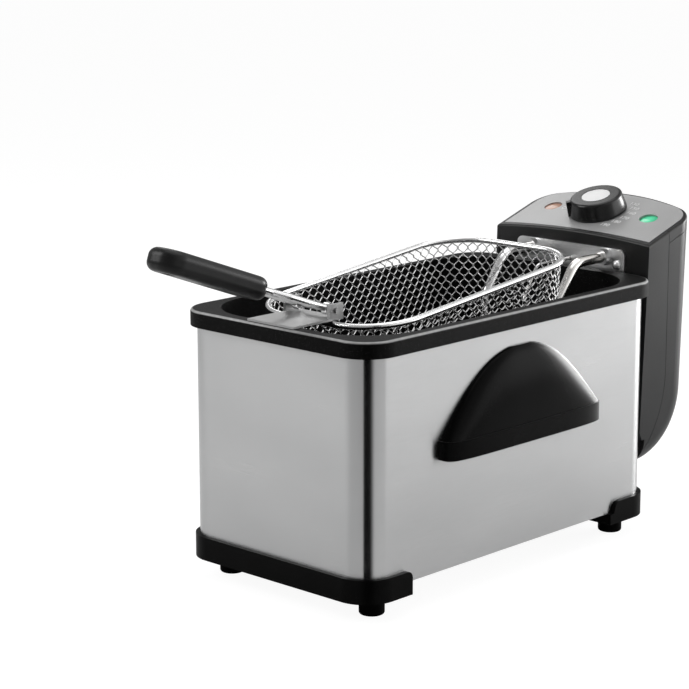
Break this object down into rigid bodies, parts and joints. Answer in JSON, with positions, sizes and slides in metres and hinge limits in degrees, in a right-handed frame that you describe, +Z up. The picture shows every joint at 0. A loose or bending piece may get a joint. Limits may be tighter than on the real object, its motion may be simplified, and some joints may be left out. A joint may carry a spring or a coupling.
{
  "type": "deep fryer",
  "caption": "Rectangular steel deep fryer: lift-out enamelled pot, hang-on control head with dial, lamps and bent heating element, wire basket with folding handle, cup handles on the sides.",
  "frame": {"origin": "centre of the overall bounding box, on the plane that the feet stand on", "axes": "+X to the right seen from the front, +Y to the rear with the control head, +Z up"},
  "size_m": [0.202, 0.5028, 0.2615],
  "materials": {
    "housing_steel": "fine brushed",
    "plain_sheet": "plain rolled",
    "base_plastic": "fine grain",
    "foot_rubber": "matte",
    "handle_plastic": "polished",
    "rail_plastic": "fine grain",
    "enamel": "speckled enamel",
    "head_plastic": "satin grain",
    "panel_plastic": "satin printed",
    "bright_steel": "polished",
    "element_steel": "drawn tube",
    "green_lens": "clear",
    "orange_lens": "clear",
    "knob_plastic": "satin",
    "knob_silver": "satin",
    "inner_plastic": "moulded",
    "inlet_plastic": "moulded",
    "contact_brass": "plain",
    "button_plastic": "moulded",
    "basket_wire": "bright plated",
    "grip_plastic": "satin"
  },
  "bodies": {
    "housing": {"outer_housing": "housing_steel", "bottom_plate": "plain_sheet", "front_base": "base_plastic", "rear_base": "base_plastic", "foot_front_left": "foot_rubber", "foot_front_right": "foot_rubber", "foot_rear_left": "foot_rubber", "foot_rear_right": "foot_rubber", "side_handle_left": "handle_plastic", "side_handle_right": "handle_plastic", "guide_rail_left": "rail_plastic", "guide_rail_right": "rail_plastic", "interlock_peg": "rail_plastic"},
    "oil_pot": {"oil_pot": "enamel"},
    "control_head": {"head_front_shell": "head_plastic", "head_rear_cover": "head_plastic", "head_top_cap": "head_plastic", "control_panel": "panel_plastic", "element_plate": "bright_steel", "plate_nut_left": "bright_steel", "plate_nut_right": "bright_steel", "heating_element": "element_steel", "ferrule_left": "element_steel", "ferrule_right": "element_steel", "element_clip": "element_steel", "sensor_bulb": "element_steel", "thermostat_body": "inner_plastic", "power_lens": "orange_lens", "ready_lens": "green_lens", "head_tongue_left": "head_plastic", "head_tongue_right": "head_plastic", "interlock_switch": "rail_plastic", "terminal_block": "inner_plastic", "inlet_socket": "inlet_plastic", "inlet_pin_left": "contact_brass", "inlet_pin_right": "contact_brass", "thermal_cutout": "inner_plastic", "head_screw_left": "plain_sheet", "head_screw_right": "plain_sheet"},
    "temperature_knob": {"temperature_knob": "knob_plastic", "knob_cap": "knob_silver", "thermostat_shaft": "element_steel"},
    "reset_button": {"reset_button": "button_plastic"},
    "basket": {"basket_rim": "basket_wire", "basket_foot_ring": "basket_wire", "basket_side_net": "basket_wire", "basket_end_net": "basket_wire", "basket_corner_net": "basket_wire", "basket_floor_net": "basket_wire", "handle_bracket": "plain_sheet", "handle_pivot": "bright_steel"},
    "basket_handle": {"handle_frame": "basket_wire", "handle_grip": "grip_plastic"}
  },
  "joints": [
    {"name": "pot_lift", "type": "slide", "parent": "housing", "child": "oil_pot", "axis": [0, 0, 1], "range_m": [0, 0.16]},
    {"name": "head_lift", "type": "slide", "parent": "oil_pot", "child": "control_head", "axis": [0, 0, 1], "range_m": [0, 0.16]},
    {"name": "basket_lift", "type": "slide", "parent": "control_head", "child": "basket", "axis": [0, 0, 1], "range_m": [0, 0.14]},
    {"name": "handle_fold", "type": "hinge", "parent": "basket", "child": "basket_handle", "pos_m": [0, -0.10553, 0.203], "axis": [-1, 0, 0], "range_deg": [0, 155]},
    {"name": "knob_turn", "type": "hinge", "parent": "control_head", "child": "temperature_knob", "pos_m": [0, 0.21671, 0.23189], "axis": [0, 0.3007, -0.9537], "range_deg": [0, 260]},
    {"name": "reset_press", "type": "slide", "parent": "control_head", "child": "reset_button", "axis": [0, -1, 0], "range_m": [0, 0.002], "stiffness_N_per_m": 300}
  ]
}
